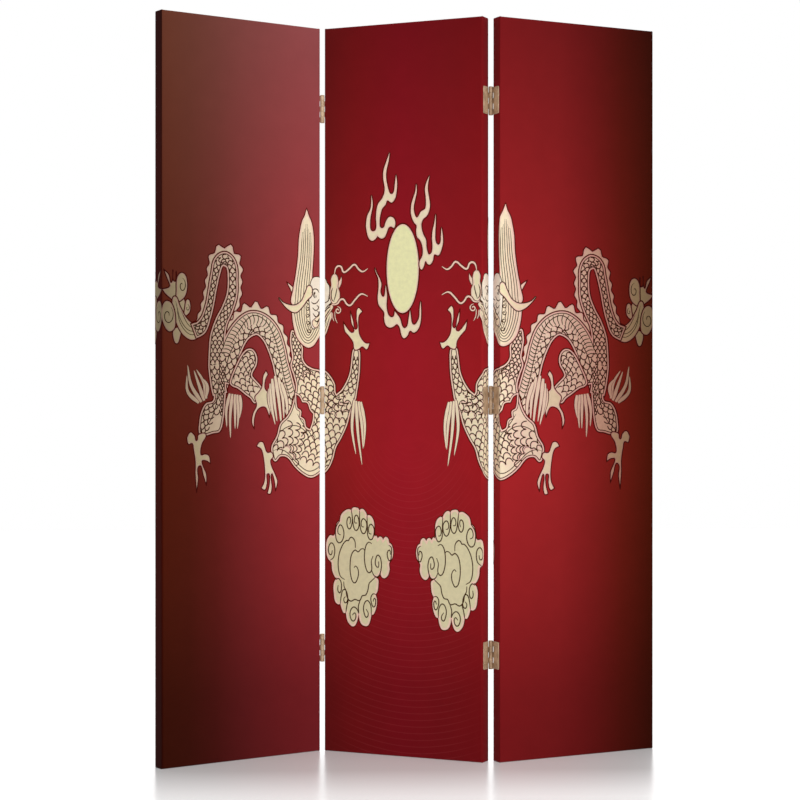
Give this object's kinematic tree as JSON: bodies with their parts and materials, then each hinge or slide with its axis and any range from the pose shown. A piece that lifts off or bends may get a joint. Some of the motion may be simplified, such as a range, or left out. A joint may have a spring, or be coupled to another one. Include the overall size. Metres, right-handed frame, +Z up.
{
  "type": "folding screen",
  "caption": "Folding screen of printed canvas panels stretched over timber frames, joined by butt hinges so that it stands in a zigzag and folds flat.",
  "frame": {"origin": "on the floor, at the middle of the ground that the screen covers as it stands in its zigzag", "axes": "+Z up the panels; the printed side faces -Y; +X runs from the left panel to the right panel seen from the front"},
  "size_m": [1.0086, 0.2288, 1.5],
  "materials": {
    "canvas_print": "matte woven canvas with a deep red print and cream figures, printed on its front and edges",
    "frame_timber": "planed bare pine",
    "hinge_metal": "aged satin brass",
    "screw_metal": "aged satin brass"
  },
  "bodies": {
    "left_panel": {"left_left_stile": "frame_timber", "left_right_stile": "frame_timber", "left_bottom_rail": "frame_timber", "left_top_rail": "frame_timber", "left_cross_bar": "frame_timber", "left_canvas": "canvas_print", "left_join_bottom_hinge_left_leaf": "hinge_metal", "left_join_bottom_hinge_left_lower_screw": "screw_metal", "left_join_bottom_hinge_left_upper_screw": "screw_metal", "left_join_middle_hinge_left_leaf": "hinge_metal", "left_join_middle_hinge_left_lower_screw": "screw_metal", "left_join_middle_hinge_left_upper_screw": "screw_metal", "left_join_top_hinge_left_leaf": "hinge_metal", "left_join_top_hinge_left_lower_screw": "screw_metal", "left_join_top_hinge_left_upper_screw": "screw_metal"},
    "middle_panel": {"middle_left_stile": "frame_timber", "middle_right_stile": "frame_timber", "middle_bottom_rail": "frame_timber", "middle_top_rail": "frame_timber", "middle_cross_bar": "frame_timber", "middle_canvas": "canvas_print", "left_join_bottom_hinge_right_leaf": "hinge_metal", "left_join_bottom_hinge_right_lower_screw": "screw_metal", "left_join_bottom_hinge_right_upper_screw": "screw_metal", "left_join_middle_hinge_right_leaf": "hinge_metal", "left_join_middle_hinge_right_lower_screw": "screw_metal", "left_join_middle_hinge_right_upper_screw": "screw_metal", "left_join_top_hinge_right_leaf": "hinge_metal", "left_join_top_hinge_right_lower_screw": "screw_metal", "left_join_top_hinge_right_upper_screw": "screw_metal", "left_join_bottom_hinge_pin": "hinge_metal", "left_join_middle_hinge_pin": "hinge_metal", "left_join_top_hinge_pin": "hinge_metal", "right_join_bottom_hinge_left_leaf": "hinge_metal", "right_join_bottom_hinge_left_lower_screw": "screw_metal", "right_join_bottom_hinge_left_upper_screw": "screw_metal", "right_join_middle_hinge_left_leaf": "hinge_metal", "right_join_middle_hinge_left_lower_screw": "screw_metal", "right_join_middle_hinge_left_upper_screw": "screw_metal", "right_join_top_hinge_left_leaf": "hinge_metal", "right_join_top_hinge_left_lower_screw": "screw_metal", "right_join_top_hinge_left_upper_screw": "screw_metal", "right_join_bottom_hinge_pin": "hinge_metal", "right_join_middle_hinge_pin": "hinge_metal", "right_join_top_hinge_pin": "hinge_metal"},
    "right_panel": {"right_left_stile": "frame_timber", "right_right_stile": "frame_timber", "right_bottom_rail": "frame_timber", "right_top_rail": "frame_timber", "right_cross_bar": "frame_timber", "right_canvas": "canvas_print", "right_join_bottom_hinge_right_leaf": "hinge_metal", "right_join_bottom_hinge_right_lower_screw": "screw_metal", "right_join_bottom_hinge_right_upper_screw": "screw_metal", "right_join_middle_hinge_right_leaf": "hinge_metal", "right_join_middle_hinge_right_lower_screw": "screw_metal", "right_join_middle_hinge_right_upper_screw": "screw_metal", "right_join_top_hinge_right_leaf": "hinge_metal", "right_join_top_hinge_right_lower_screw": "screw_metal", "right_join_top_hinge_right_upper_screw": "screw_metal"}
  },
  "joints": [
    {"name": "left_fold", "type": "hinge", "parent": "middle_panel", "child": "left_panel", "pos_m": [-0.18446, 0.08791, 0.728], "axis": [0, 0, 1], "range_deg": [-71.6, 120.4]},
    {"name": "right_fold", "type": "hinge", "parent": "middle_panel", "child": "right_panel", "pos_m": [0.16281, -0.04371, 0.728], "axis": [0, 0, 1], "range_deg": [-63.6, 128.4]}
  ]
}
